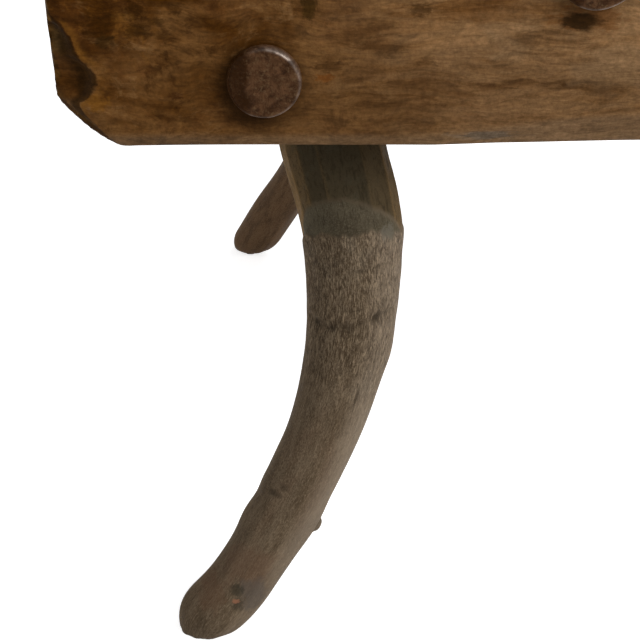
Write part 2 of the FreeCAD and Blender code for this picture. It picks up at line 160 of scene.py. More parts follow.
# Stains, knots and small pits in the front face, a dark blob below and left of the middle head, a painted
# highlight at the chipped corner and a painted sheen on the lower edge: place along and up, size, colour and
# strength
FRONT_STAINS_AND_PAINTED_LIGHT = (
    ((-201.3, 292), (8, 12, 5), (52, 28, 3), 0.75),
    ((-185, 299.5), (6, 12, 5), (46, 25, 3), 0.75),
    ((-184, 291), (7, 12, 4), (48, 28, 4), 0.7),
    ((-176, 295), (4, 12, 2.2), (48, 30, 6), 0.6),
    ((-198, 286.5), (6, 12, 4), (40, 28, 8), 0.6),
    ((-189.5, 297), (6, 12, 2.4), (118, 80, 32), 0.25),
    # A painted highlight on the lower end of the chipped corner's ridge
    ((-203.7, 259.5), (6, 12, 4.5), (124, 80, 26), 0.75),
    ((-173.5, 281), (1.4, 6, 2.8), (44, 25, 6), 0.5),
    ((-94.2, 270), (2.2, 6, 1.8), (48, 28, 8), 0.4),
    ((-9.2, 268), (1.6, 6, 1.0), (56, 34, 12), 0.6),
    ((-170.5, 263), (3.6, 6, 2.2), (50, 26, 8), 0.6),
    ((-114.8, 303), (4.0, 6, 10), (50, 34, 8), 0.75),
    ((-107, 276), (8, 6, 3.5), (58, 34, 10), 0.6),
    ((-108.5, 271), (5, 6, 2.2), (112, 62, 20), 0.6),
    ((-42, 299.5), (46, 12, 7.5), (96, 59, 21), 0.5),
    ((-70, 300), (6, 12, 3.5), (50, 30, 8), 0.6),
    ((-1, 296), (17, 6, 7), (112, 66, 24), 0.6),
    ((-5.4, 295), (11, 6, 5), (34, 22, 6), 0.9),
    ((-22, 251), (2.4, 6, 0.6), (48, 30, 12), 0.45),
    # A greyish sheen painted on the lower bevel
    ((-40, 245), (17, 12, 2.8), (104, 92, 78), 0.7),
)


def read_points(piece):
    """The piece's points in millimetres."""
    points = np.empty(len(piece.data.vertices) * 3, np.float32)
    piece.data.vertices.foreach_get("co", points)
    return points.reshape(-1, 3).astype(float) * 1000


def write_points(piece, points):
    """Moves the piece's points to places in millimetres."""
    piece.data.vertices.foreach_set("co", (points / 1000).astype(np.float32).ravel())
    piece.data.update()


def read_normals(piece):
    """The way each point of the piece faces."""
    normals = np.empty(len(piece.data.vertices) * 3, np.float32)
    piece.data.vertex_normals.foreach_get("vector", normals)
    return normals.reshape(-1, 3).astype(float)


def unevenness(points, waves, place=0):
    """Smooth waves of about -1 to 1, this many millimetres long in each direction."""
    return np.array([noise.noise(Vector(point)) for point in points / np.array(waves) + place])


def ease(value, start, end):
    """A smooth rise from 0 at the start to 1 at the end."""
    share = np.clip((value - start) / (end - start), 0, 1)
    return share * share * (3 - 2 * share)


def name_new_piece(name):
    """Names the primitive that was just added, and puts its place and size into its mesh."""
    bpy.ops.object.transform_apply(location=True, rotation=True, scale=True)
    piece = bpy.context.object
    piece.name = name
    piece.data.name = name
    return piece


def add_block(name, low, high):
    """A block between two corners in metres."""
    bpy.ops.object.select_all(action="DESELECT")
    bpy.ops.mesh.primitive_cube_add(size=1, location=(low + high) / 2, scale=high - low)
    return name_new_piece(name)


def carry(piece, marks):
    """Gives the piece's points the values that its finish reads."""
    for name, values in marks.items():
        kind, field = ("FLOAT", "value") if values.ndim == 1 else ("FLOAT_VECTOR", "vector")
        carried = piece.data.attributes.new(name, kind, "POINT")
        carried.data.foreach_set(field, values.astype(np.float32).ravel())


def dress(piece, node, finish):
    """Puts a finished piece in the place of its solid."""
    piece.data.materials.clear()
    piece.data.materials.append(finish)
    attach(piece, "root")
    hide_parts(node)


seat = add_block("hewn_seat", seat_low, seat_high)
bpy.ops.object.mode_set(mode="EDIT")
for side in (-1, 1):
    cut_foot = (side * (seat_end - END_CUT_LENGTH) / 1000, 0, seat_low.z)
    cut_way = (side * END_CUT_HEIGHT, 0, -END_CUT_LENGTH)
    bpy.ops.mesh.select_all(action="SELECT")
    bpy.ops.mesh.bisect(plane_co=cut_foot, plane_no=cut_way, use_fill=True, clear_outer=True)
    for end in (-1, 1):
        hewn_tip = (side * seat_end / 1000, end * seat_back / 1000, HEWN_TOP / 1000)
        hewn_way = (side / HEWN_OFF[0], end / HEWN_OFF[1], -1 / HEWN_OFF[2])
        bpy.ops.mesh.select_all(action="SELECT")
        bpy.ops.mesh.bisect(plane_co=hewn_tip, plane_no=hewn_way, use_fill=True, clear_outer=True)
bpy.ops.mesh.select_all(action="SELECT")
bpy.ops.mesh.normals_make_consistent(inside=False)
bpy.ops.mesh.bevel(offset=EDGE_WEAR / 1000, segments=2, affect="EDGES")
bpy.ops.object.mode_set(mode="OBJECT")
even = seat.modifiers.new("even", "REMESH")
even.mode = "VOXEL"
even.voxel_size = SKIN_STEP / 1000
bpy.ops.object.modifier_apply(modifier="even")

bpy.ops.object.mode_set(mode="EDIT")
bpy.ops.mesh.select_mode(type="FACE")
bpy.ops.mesh.select_all(action="DESELECT")
bpy.ops.object.mode_set(mode="OBJECT")
for face in seat.data.polygons:
    face.select = face.center.x < FINE_ALONG / 1000 and face.center.y < FINE_ACROSS / 1000
bpy.ops.object.mode_set(mode="EDIT")
bpy.ops.mesh.subdivide(number_cuts=FINE_CUTS)
bpy.ops.object.mode_set(mode="OBJECT")

# The places along, across and up are views of the skin, so they follow each change to it
skin = read_points(seat)
facing = read_normals(seat)
along, across, height = skin.T
end_grain = ease(np.abs(facing[:, 0]), 0.40, 0.62)
waves = unevenness(skin, ADZE_WAVES) * ADZE_RISE + unevenness(skin, FINE_WAVES, 7) * FINE_RISE
waves *= 1 + ROUGHER_BELOW * ease(-facing[:, 2], 0.6, 0.9)
for bolt_along, _, bolt_height in bolt_places.values():
    waves *= ease(np.hypot(along - bolt_along, height - bolt_height), *BOLT_FLAT)
for tenon_along, tenon_across, _ in tenon_places:
    waves *= ease(np.hypot(along - tenon_along, across - tenon_across), *TENON_FLAT)
skin += facing * waves[:, None]

for side in (-1, 1):
    cut_facing = np.array((side * END_CUT_HEIGHT, 0, -END_CUT_LENGTH))
    cut_facing = cut_facing / math.hypot(END_CUT_HEIGHT, END_CUT_LENGTH)
    on_cut = ease(facing @ cut_facing, 0.7, 0.95)
    down_cut = np.clip((seat_underside + END_CUT_HEIGHT - height) / END_CUT_HEIGHT, 0, 1)
    skin += cut_facing * (END_CUT_SWELL * on_cut * np.sin(math.pi * down_cut))[:, None]

near_front = ease(across, *FRONT_WEAR)
skin[:, 2] -= EDGE_SAG * ease(height, *LOWER_WEAR) * near_front
planed_top = np.interp(along, *PLANED_TOP)
skin[:, 1] += PLANED_SLOPE * near_front * np.maximum(0, planed_top - height)
skin[:, 0] -= np.interp(height, *FULLER) * ease(along, *CORNER_WEAR) * near_front

past_ridge = np.interp(height, *RIDGE) - along
chip = np.interp(height, *CHIP_DEPTH) * ease(past_ridge, 0, CHIP_WALL_WIDTH)
chip = seat_front + chip + CHIP_SLOPE * np.maximum(0, past_ridge)
chipped = (past_ridge > 0) & (across < CHIP_REACH)
skin[:, 1] = np.where(chipped, np.maximum(across, chip), across)
write_points(seat, skin)
bpy.ops.object.shade_smooth()
carry(seat, {
    "past_ridge": np.clip(past_ridge * np.interp(height, *WALL_STEEPNESS), -30, 30),
    "ridge_light_and_wear": np.interp(height, *RIDGE_LIGHT_AND_WEAR),
    "end_grain": end_grain,
})


def screen(tone):
    """A screen colour as the shader takes it."""
    parts = [part / 255 for part in tone]
    parts = [part / 12.92 if part <= 0.04045 else ((part + 0.055) / 1.055) ** 2.4 for part in parts]
    return (*parts, 1)


class Finish:
    """A node tree, and the few moves that every finish here is laid with."""

    def __init__(self, tree):
        self.tree = tree

    def feed(self, node, inputs):
        """Links or sets a node's inputs by their name or place."""
        for place, value in inputs.items():
            if isinstance(value, bpy.types.NodeSocket):
                self.tree.links.new(value, node.inputs[place])
            else:
                node.inputs[place].default_value = value

    def add(self, kind, inputs, **settings):
        """A node with its settings and inputs."""
        node = self.tree.nodes.new(f"ShaderNode{kind}")
        for name, value in settings.items():
            setattr(node, name, value)
        self.feed(node, inputs)
        return node

    def surface(self):
        """Places on the piece in metres, which every piece here has in its mesh."""
        return self.add("TexCoord", {}).outputs["Object"]

    def attribute(self, name, output="Fac"):
        """Values that the piece's points carry."""
        return self.add("Attribute", {}, attribute_name=name).outputs[output]

    def speckle(self, place, scale, detail=3.0, roughness=0.55, distortion=0.0):
        """Cloudy values about 0.5. The scale is for all directions, or one for each."""
        if isinstance(scale, tuple):
            place = self.add("Mapping", {"Vector": place, "Scale": scale}).outputs[0]
            scale = 1.0
        inputs = {"Vector": place, "Scale": scale, "Detail": detail}
        inputs.update({"Roughness": roughness, "Distortion": distortion})
        return self.add("TexNoise", inputs).outputs[0]

    def between(self, value, start, end, low=0.0, high=1.0):
        """A value brought from one range smoothly to another."""
        inputs = {"Value": value, "From Min": start, "From Max": end, "To Min": low, "To Max": high}
        return self.add("MapRange", inputs, interpolation_type="SMOOTHSTEP").outputs[0]

    def plus(self, first, second):
        """Two values added."""
        return self.add("Math", {0: first, 1: second}, operation="ADD").outputs[0]

    def times(self, first, *others):
        """Values multiplied."""
        for other in others:
            first = self.add("Math", {0: first, 1: other}, operation="MULTIPLY").outputs[0]
        return first

    def mix(self, mask, under, over, blend="MIX"):
        """One colour laid over another where the mask says. Each is a socket or a screen colour."""
        under, over = (screen(colour) if isinstance(colour, tuple) else colour for colour in (under, over))
        return self.add("Mix", {0: mask, 6: under, 7: over}, data_type="RGBA", blend_type=blend).outputs[2]

    def lay(self, colour, tone, pattern, start, end, strength=1.0):
        """A tone laid over a colour, up to its strength as a pattern goes from the start to the end."""
        return self.mix(self.between(pattern, start, end, 0.0, strength), colour, tone)

    def relief(self, height, depth, strength):
        """Fine relief of this depth in metres."""
        return self.add("Bump", {"Height": height, "Distance": depth, "Strength": strength}).outputs[0]


def new_finish(name):
    """A material, the tree that colours it and its shader."""
    material = bpy.data.materials.new(name)
    material.use_nodes = True
    return material, Finish(material.node_tree), material.node_tree.nodes["Principled BSDF"]


# A soft patch about a point. Its rim is ragged after the part of a pattern that its own place picks.
patch_group = bpy.data.node_groups.new("patch", "ShaderNodeTree")
for socket, kind in (("Place", "Vector"), ("Centre", "Vector"), ("Size", "Vector"), ("Ragged", "Float")):
    patch_group.interface.new_socket(socket, in_out="INPUT", socket_type=f"NodeSocket{kind}")
patch_group.interface.new_socket("Mask", in_out="OUTPUT", socket_type="NodeSocketFloat")
inner = Finish(patch_group)
given = patch_group.nodes.new("NodeGroupInput").outputs
shift = inner.add("VectorMath", {0: given["Place"], 1: given["Centre"]}, operation="SUBTRACT").outputs[0]
reach = inner.add("VectorMath", {0: shift, 1: given["Size"]}, operation="DIVIDE").outputs[0]
distance = inner.add("VectorMath", {0: reach}, operation="LENGTH").outputs["Value"]
own_part = inner.add("VectorMath", {0: given["Centre"], 1: (300, 300, 300)}, operation="MULTIPLY").outputs[0]
rag_place = inner.add("VectorMath", {0: reach, 1: own_part}, operation="ADD").outputs[0]
rag = inner.times(inner.plus(inner.speckle(rag_place, 1.8, 4.0, 0.65), -0.5), given["Ragged"])
mask = inner.between(inner.plus(distance, rag), 1.0, 0.45)
patch_group.links.new(mask, patch_group.nodes.new("NodeGroupOutput").inputs["Mask"])


def patch(finish, place, centre, size, ragged):
    """A ragged patch at a place in millimetres."""
    inputs = {"Place": place, "Ragged": ragged}
    inputs["Centre"] = [part / 1000 for part in centre]
    inputs["Size"] = [part / 1000 for part in size]
    return finish.add("Group", inputs, node_tree=patch_group).outputs["Mask"]


seat_wood, tint, shader = new_finish("stained_hewn_wood")
place = tint.surface()
place_along, place_across, place_up = tint.add("SeparateXYZ", {0: place}).outputs
# The grain wanders up and down, most of all towards the left end
wander = tint.between(place_along, -0.15, -0.07, 0.022, 0.009)
wander = tint.times(tint.plus(tint.speckle(place, 24, 2.0, 0.5), -0.5), wander)
grain = tint.add("CombineXYZ", {0: place_along, 1: place_across, 2: tint.plus(place_up, wander)}).outputs[0]
cloud = tint.speckle(place, (18, 26, 28), 4.0, 0.6, 0.5)
blotch = tint.speckle(grain, (72, 115, 115), 5.0, 0.65, 0.5)
fibre = tint.speckle(grain, (105, 560, 560), 4.0, 0.65, 0.5)
grit = tint.speckle(place, 480, 5.0, 0.75, 0.2)
vein = tint.speckle(grain, (22, 110, 110), 4.0, 0.6, 0.9)
mottle = tint.speckle(place, 95, 4.0, 0.6, 0.4)
reddish = tint.speckle(place, (26, 38, 38), 3.0, 0.6, 0.3)
colour = tint.lay(DEEP_STAIN, THIN_STAIN, cloud, 0.40, 0.60)
colour = tint.lay(colour, PALE_BLOTCH, blotch, 0.53, 0.70, 0.58)
colour = tint.lay(colour, DARK_BLOTCH, blotch, 0.47, 0.32, 0.7)
colour = tint.lay(colour, RED_WOOD, reddish, 0.51, 0.66, 0.3)

# Towards the right the wood is veined, rubbed pale and greyed, and its lower half is darker
veined = tint.between(place_along, -0.16, -0.06, 0.12, 0.6)
colour = tint.mix(tint.times(tint.between(vein, 0.46, 0.34), veined), colour, DARK_VEIN)
rubbed = tint.times(tint.between(place_along, -0.15, -0.02, 0, 0.72), tint.between(vein, 0.32, 0.64, 0.3, 1))
colour = tint.mix(rubbed, colour, RUBBED_WOOD)
greyed = tint.times(tint.between(place_along, -0.10, -0.04), tint.between(reddish, 0.47, 0.36, 0, 0.3))
colour = tint.mix(greyed, colour, GREYED_WOOD)
lower_half = tint.between(place_up, 0.287, 0.266, 0, 0.36)
lower_half = tint.times(lower_half, tint.between(place_along, -0.205, -0.10))
colour = tint.mix(lower_half, colour, LOWER_STAIN)

# The stain lies mottled towards the left end
mottled = tint.times(tint.between(place_along, -0.166, -0.184), tint.between(place_up, 0.272, 0.284),
                     tint.between(place_across, -0.128, -0.144))
colour = tint.mix(tint.times(tint.between(mottle, 0.50, 0.64), mottled, 0.6), colour, DARK_MOTTLE)
colour = tint.mix(tint.times(tint.between(mottle, 0.47, 0.36), mottled, 0.5), colour, PALE_MOTTLE)

# The planed lower front edge is worn, and a greyish sheen is painted along it
edge_top = tint.between(place_along, -0.075, 0.02, 0.2462, 0.2555)
above_edge = tint.add("Math", {0: place_up, 1: edge_top}, operation="SUBTRACT").outputs[0]
edge_sheen_mask = tint.times(tint.between(above_edge, 0.0012, -0.0030, 0, 0.42),
                       tint.between(place_across, -0.12, -0.14), tint.between(cloud, 0.25, 0.6, 0.5, 1.0))
colour = tint.mix(edge_sheen_mask, colour, PAINTED_EDGE_SHEEN)

# The strongest mark has a cleaner rim than the others
for (mark_along, mark_height), size, tone, strength in FRONT_STAINS_AND_PAINTED_LIGHT:
    ragged = 1.2 if strength > 0.8 else 2.2
    mask = patch(tint, place, (mark_along, seat_front, mark_height), size, ragged)
    colour = tint.mix(tint.times(mask, strength), colour, tone)

# The chipped corner: a rubbed ridge with a painted highlight, paler ledges beyond it, and walls between
# painted dark as shade
corner = tint.between(place_across, -0.122, -0.138)
beyond = tint.plus(tint.attribute("past_ridge"), tint.between(tint.speckle(place, 210), 0, 1, -1.5, 1.5))
ridge = tint.times(tint.between(beyond, -5, -1.2), tint.between(beyond, 0.3, -0.6))
ridge = tint.times(ridge, tint.attribute("ridge_light_and_wear"), corner, tint.between(mottle, 0.3, 0.6, 0.35, 0.75))
colour = tint.mix(ridge, colour, LIT_RUBBED_RIDGE)
ledge = tint.lay(MIDDLE_LEDGE, HIGH_LEDGE, place_up, 0.277, 0.284)
ledge = tint.lay(ledge, LOW_LEDGE, place_up, 0.262, 0.257)
colour = tint.mix(tint.times(tint.between(beyond, 0.5, 5), corner, 0.8), colour, ledge)
wall = tint.times(tint.between(beyond, -0.3, 0.9), tint.between(beyond, 7.5, 4.0, 0.25, 1))
colour = tint.mix(tint.times(wall, corner, 0.85), colour, CHIP_WALL_SHADE)

# A shadow is painted round each bolt as a dark ring, set a little down and to the left, on the front and back
# faces, and the tenons stand in dark joints
for name, (bolt_along, _, bolt_height) in bolt_places.items():
    for face in (seat_front, seat_back):
        ring = patch(tint, place, (bolt_along - 2, face, bolt_height - 4), (25, 9, 25), 0.4)
        colour = tint.mix(tint.times(ring, BOLT_SHADOWS[name]), colour, PAINTED_BOLT_SHADOW)
for tenon_along, tenon_across, _ in tenon_places:
    ring = patch(tint, place, (tenon_along, tenon_across, seat_top), (19.5, 19.5, 9), 0.25)
    colour = tint.mix(ring, colour, TENON_JOINT)

# The ends show the log's rings about a pith under the plank, and drying checks along its rays
on_end = tint.attribute("end_grain")
pith = tint.add("Mapping", {"Vector": place, "Location": (0, -0.04, -0.10)}).outputs[0]
rings = tint.add("TexWave", {"Vector": pith, "Scale": 62, "Distortion": 5, "Detail": 3, "Detail Scale": 0.45},
                 wave_type="RINGS", rings_direction="X").outputs[1]
_, pith_across, pith_up = tint.add("SeparateXYZ", {0: pith}).outputs
spoke = tint.add("Math", {0: pith_across, 1: pith_up}, operation="ARCTAN2").outputs[0]
spokes = tint.add("CombineXYZ", {0: tint.times(spoke, 16), 1: tint.times(pith_up, 12)}).outputs[0]
ray = tint.add("Math", {0: tint.speckle(spokes, 1.0, 2.0), 1: 0.5, 2: 0.006}, operation="COMPARE").outputs[0]
check = tint.times(ray, tint.between(cloud, 0.46, 0.54), on_end,
                   tint.between(place_across, -0.144, -0.134), tint.between(place_across, 0.144, 0.134))
end_wood = tint.mix(rings, EARLY_RING, LATE_RING)
end_wood = tint.lay(end_wood, END_CLOUD, cloud, 0.42, 0.60, 0.6)
end_wood = tint.lay(end_wood, END_BLOTCH, blotch, 0.48, 0.34, 0.6)
colour = tint.mix(on_end, colour, end_wood)
colour = tint.mix(check, colour, DRYING_CHECK)

grain_tone = tint.times(tint.between(fibre, 0.3, 0.7, 0.77, 1.23), tint.between(grit, 0.3, 0.7, 0.78, 1.22),
                        tint.between(rings, 0, 1, 0.96, 1.04))
shade = tint.add("CombineColor", {0: grain_tone, 1: grain_tone, 2: grain_tone}).outputs[0]
hills = tint.plus(tint.plus(tint.times(fibre, 0.5), blotch), tint.times(check, -2))
tint.feed(shader, {
    "Base Color": tint.mix(1.0, colour, shade, "MULTIPLY"),
    "Specular IOR Level": 0.02,
    "Roughness": tint.between(blotch, 0.25, 0.75, 0.42, 0.60),
    "Normal": tint.relief(hills, 0.0006, 0.7),
})
dress(seat, "seat_slab", seat_wood)


# Legs: four crooked branches with the bark left on, thick at the seat and thin at the floor. The knife
# took each neck down to long flats that run out into the bark, a round tenon goes up through the seat,
# and each has the stub of a trimmed twig and a worn, rounded foot.
TENON_RADIUS = 16
# The tenon's end stands proud of the seat, and its shoulder reaches up into the wavy underside
TENON_PROUD = 0.5
SHOULDER_REACH = 1.5
tenon_top = seat_top + TENON_PROUD
shoulder = seat_underside + SHOULDER_REACH
# How high the foot is worn, and how far at its toe and, unless the branch says otherwise, at its heel
WEAR_HEIGHT = 16
TOE_WEAR = 15
HEEL_WEAR = 3
# How high the bark's swellings and ripples and the knife's ripples are, how deep the bark's fissures go, and
# how thick it is
BARK_SWELL = 0.9
BARK_RIPPLE = 0.5
KNIFE_RIPPLE = 0.12
FISSURE_DEPTH = 0.16
BARK_THICKNESS = 0.6
# The trimmed twig: the radius and height of its stub, and of the collar about it
STUB_RADIUS = 2.3
STUB_RISE = 2.0
COLLAR_RADIUS = 12
COLLAR_RISE = 0.9
# The bark's patterns lie on a straight round branch of this radius, and are bent with it
STRAIGHT_RADIUS = 24
COLUMNS = 176
ROWS = 400
# The skin passes from the tenon's end to its side, the shoulder, the bark and the sole at these shares of
# its rows
CAP_END = 0.03
TENON_END = 0.05
SHOULDER_END = 0.06
BARK_END = 0.975
# How far the rows crowd towards the floor
CROWDING = 0.12
# The places where the skin passes the floor and the shoulder are searched for along these shares of the way,
# in so many steps, for so many turns about the branch
FLOOR_SEARCH = (0.9, 1.15)
SHOULDER_SEARCH = (-0.15, 0.15)
SEARCH_STEPS = 220
SEARCH_TURNS = 121
DARK_BARK = (87, 72, 55)
PALE_BARK = (113, 97, 78)
WARM_BARK = (100, 79, 61)
GREY_BARK = (110, 100, 86)
DARK_BARK_GRIT = (68, 56, 42)
PALE_BARK_GRIT = (142, 124, 101)
# Painted light on the bark's right side
PAINTED_LIGHT_BARK = (172, 157, 139)
PALE_FLECK = (166, 145, 118)
DARK_FLECK = (62, 49, 34)
BARK_CRACK = (50, 39, 28)
DARK_HANDLED = (86, 63, 42)
PALE_HANDLED = (112, 85, 60)
HANDLED_CRACKLE = (66, 47, 30)
DARK_HANDLED_GRIT = (64, 46, 31)
PALE_HANDLED_GRIT = (136, 107, 80)
DARK_SHAVED = (62, 54, 41)
PALE_SHAVED = (87, 79, 63)
SHAVED_GRIT = (106, 97, 79)
SHAVED_FLECK = (46, 39, 28)
SHAVED_CRACKLE = (46, 39, 29)
# The flats' tones, partly painted light and shade
DARK_FLAT = (63, 56, 42)
PALE_FLAT = (130, 102, 64)
FLAT_CRACKLE = (38, 31, 19)
FLAT_MOTTLE = (80, 74, 59)
FLAT_GRIT = (40, 33, 21)
CUT_END_DARK = (92, 66, 40)
CUT_END_PALE = (138, 106, 70)
CUT_END_MOTTLE = (70, 50, 32)
# Painted shade in the bark's creases, and its dark marks
CREASE_SHADE_AND_DARK_MARKS = (38, 31, 23)
# Warm, grey and dark patches on the front left leg: middle, size, colour and strength
BARK_PATCHES = (
    ((-146, -191, 37), (17, 14, 15), (106, 82, 64), 0.5),
    ((-162, -190, 22), (10, 16, 10), (102, 76, 57), 0.45),
    ((-142, -196, 23), (10, 10, 12), (86, 78, 71), 0.6),
    ((-150.5, -196, 27), (4.4, 8, 4), (48, 46, 37), 0.62),
    ((-150.5, -197, 20), (4.0, 8, 4.0), (56, 50, 41), 0.6),
    ((-151.3, -198, 22), (2.4, 6, 1.3), (170, 114, 86), 0.5),
    ((-79, -131, 188), (5, 9, 5), (112, 106, 94), 0.5),
)


def turned_from(degrees, angle):
    """How far the degrees are turned from an angle, the short way round."""
    return (degrees - angle + 180) % 360 - 180


class Branch:
    """One leg: the bends and thickness of its branch, and what the knife and the weather left on it.

    The stations are the four points that bend its middle line, each with a thickness. The corners are the
    angles between the flats of its neck, and the tones say how pale each flat is; on the front left leg they
    are partly painted light and shade for the way each flat faces. The flats' end and the bark's start are
    shares of the way down, given for angles about the branch: 0 to the right, 90 to the back. Smooth says how
    far hands have rubbed the bark. The twig, the bumps and the spots begin with a share and an angle. A bump
    has a length, a width in degrees and a rise, and a spot has a length, a width and a shade. A crease
    follows angles and shares, with a width, a depth and a shade.
    """

    def __init__(self, stations, corners, tones, flats_end, bark_start, smooth, twig,
                 bumps=(), creases=(), spots=(), heel=HEEL_WEAR):
        self.stations = np.array(stations, float)
        self.corners = corners
        self.tones = tones
        self.flats_end = flats_end
        self.bark_start = bark_start
        self.smooth = smooth
        self.twig = twig
        self.bumps = bumps
        self.creases = creases
        self.spots = spots
        self.heel = heel
        # The toe is where the branch runs out furthest, on the upper side of its lean
        lean = self.stations[3, :2] - self.stations[2, :2]
        self.toe = math.atan2(lean[1], lean[0])
        line = self.centre(np.linspace(0, 1, 200))
        self.length = np.linalg.norm(np.diff(line, axis=0), axis=1).sum()

    def weigh(self, share):
        """The place and thickness at a share of the way down the curve that the stations bend."""
        share = np.asarray(share, float)[..., None]
        rest = 1 - share
        parts = [rest ** 3, 3 * share * rest ** 2, 3 * share ** 2 * rest, share ** 3]
        return np.concatenate(parts, axis=-1) @ self.stations

    def centre(self, share):
        """The middle of the branch there."""
        return self.weigh(share)[..., :3]

    def axes(self, share):
        """The ways across the branch there: to its right and to its back."""
        step = 0.001
        along = self.centre(share + step) - self.centre(share - step)
        along /= np.linalg.norm(along, axis=-1, keepdims=True)
        right = np.array((1.0, 0, 0)) - along[..., :1] * along
        right /= np.linalg.norm(right, axis=-1, keepdims=True)
        return right, np.cross(right, along)

    def outward(self, share, turn):
        """The way out of the branch there."""
        right, back = self.axes(share)
        return np.cos(turn)[..., None] * right + np.sin(turn)[..., None] * back

    def neck(self, girth, degrees):
        """The whittled radius, and the tone of the flat that makes it: partly painted light and shade, and
        paler along its edges, which are rubbed and painted with a highlight.
        """
        ends = list(self.corners[1:]) + [self.corners[0] + 360]
        flats = []
        for start, end in zip(self.corners, ends):
            half = (end - start) / 2
            off = np.clip(turned_from(degrees, start + half), -80, 80)
            flats.append(girth * math.cos(math.radians(half)) / np.cos(np.radians(off)))
        tone = np.array(self.tones)[np.argmin(flats, axis=0)]
        nearest, next_flat = np.sort(flats, axis=0)[:2]
        return nearest, tone + 0.15 * np.exp(-((next_flat - nearest) / 0.4) ** 2)

    def skin(self, share, turn):
        """The radius of the finished branch there, and what its points carry."""
        degrees = turned_from(np.degrees(turn), 0)
        along = share * self.length
        around = [STRAIGHT_RADIUS * np.cos(turn), STRAIGHT_RADIUS * np.sin(turn)]
        # Each leg has its foot in another place, and so its own unevenness
        rolled = (np.stack([*around, along], axis=-1) + self.stations[3, 0]).reshape(-1, 3)

        def swell(waves, place=0):
            """Unevenness of the bark in waves of these lengths."""
            return unevenness(rolled, waves, place).reshape(share.shape)

        girth = self.weigh(share)[..., 3] / 2
        for at, angle, long, wide, rise in self.bumps:
            off = turned_from(degrees, angle)
            girth = girth + rise * np.exp(-((along - at * self.length) / long) ** 2 - (off / wide) ** 2)
        radius = girth + BARK_SWELL * swell((26, 26, 60)) + BARK_RIPPLE * swell((9, 9, 30), 5)

        # Creases across the bark, with a lip above them and painted shade along them, and dark spots
        dark = np.zeros(share.shape)
        for angles, shares, width, depth, shade in self.creases:
            line = np.interp(degrees, angles, shares)
            fade = ease(degrees, angles[0] - 8, angles[0] + 4) * ease(degrees, angles[-1] + 8, angles[-1] - 4)
            ragged = swell((7, 7, 40), 11) * 0.006
            gap = (share - line - ragged) * self.length / width
            radius += fade * depth * (0.7 * np.exp(-(gap + 1.6) ** 2) - np.exp(-gap ** 2))
            broken = 0.3 + 0.7 * ease(swell((6, 6, 30), 13), -0.2, 0.3)
            dark = np.maximum(dark, shade * fade * broken * np.exp(-gap ** 2))
        for at, angle, long, wide, shade in self.spots:
            off = np.radians(turned_from(degrees, angle)) * girth
            away = np.hypot((along - at * self.length) / long, off / wide)
            dark = np.maximum(dark, shade * ease(away + 0.5 * swell((3, 3, 3), 3), 1.2, 0.3))

        # Fissures, strongest below the neck and weaker where hands have rubbed the bark
        fissured = ease(share, 0.36, 0.40) * (1 - 0.75 * ease(share, 0.58, 0.77)) * (1 - self.smooth)
        radius += fissured * FISSURE_DEPTH * swell((2.2, 2.2, 9), 9)

        # The neck: bark shaved off down to its start, and flats pared down to their end
        bark_start = np.interp(degrees, *self.bark_start) + 0.006 * swell((9, 9, 1000), 2)
        bark_start += 0.008 * swell((3, 3, 12), 8)
        bare = ease(share, bark_start + 0.007, bark_start - 0.004)
        radius -= BARK_THICKNESS * bare
        flats_end = np.interp(degrees, *self.flats_end) + 0.005 * swell((6, 6, 1000), 4)
        whittled = ease(share, flats_end + 0.010, flats_end - 0.010)
        pared = ease(share, flats_end + 0.02, flats_end - 0.05)
        flat, tone = self.neck(girth - BARK_THICKNESS, degrees)
        # The flats are painted lighter towards the seat, against the shade under it
        tone = tone + 0.12 * ease(share, 0.22, 0.04)
        flat = np.minimum(flat + KNIFE_RIPPLE * swell((8, 8, 60), 6), radius)
        radius = radius + (flat - radius) * pared

        at, angle = self.twig
        off = np.radians(turned_from(degrees, angle)) * girth
        away = np.hypot(along - at * self.length, off)
        stub = np.sqrt(np.clip(1 - (away / STUB_RADIUS) ** 2, 0, 1))
        radius += COLLAR_RISE * ease(away, COLLAR_RADIUS, 1) + STUB_RISE * stub
        dark = np.maximum(dark, 0.5 * ease(np.abs(away - STUB_RADIUS - 0.3), 1.2, 0.3))

        # The foot is worn round, most of all at its toe
        low = self.centre(share)[..., 2] + radius * self.outward(share, turn)[..., 2]
        sunk = np.clip(1 - low / WEAR_HEIGHT, 0, 1)
        toe = ease(np.cos(turn - self.toe), -0.6, 1)
        wear = self.heel + (TOE_WEAR - self.heel) * toe
        radius = radius - wear * (1 - np.sqrt(1 - sunk ** 2))

        # The right side is painted lighter, as lit from the right, less so near the foot
        pale = ease(np.cos(turn + math.radians(20)), 0.45, 1.0) * (1 - 0.6 * ease(share, 0.84, 0.96))
        marks = {
            "whittled": whittled,
            "shaved": bare * (1 - whittled),
            "dark": dark,
            "tone": tone,
            "fissured": fissured * (1 - bare),
            "handled": np.full(share.shape, self.smooth),
            "pale": pale,
        }
        return radius, marks

    def level(self, height, shares, turns):
        """The share of the way down at which the skin passes a level, for each turn about the branch."""
        grid_share, grid_turn = np.meshgrid(shares, turns, indexing="ij")
        radius, _ = self.skin(grid_share, grid_turn)
        heights = self.centre(grid_share)[..., 2] + radius * self.outward(grid_share, grid_turn)[..., 2]
        return shares[np.argmax(heights < height, axis=0)]


def add_grid(name, columns, rows):
    """A flat grid to be rolled up, with the turn of each point and its share of the way down."""
    bpy.ops.object.select_all(action="DESELECT")
    bpy.ops.mesh.primitive_grid_add(x_subdivisions=columns, y_subdivisions=rows, size=1)
    piece = name_new_piece(name)
    flat = read_points(piece) / 1000
    return piece, (flat[:, 0] + 0.5) * 2 * math.pi, 0.5 - flat[:, 1]


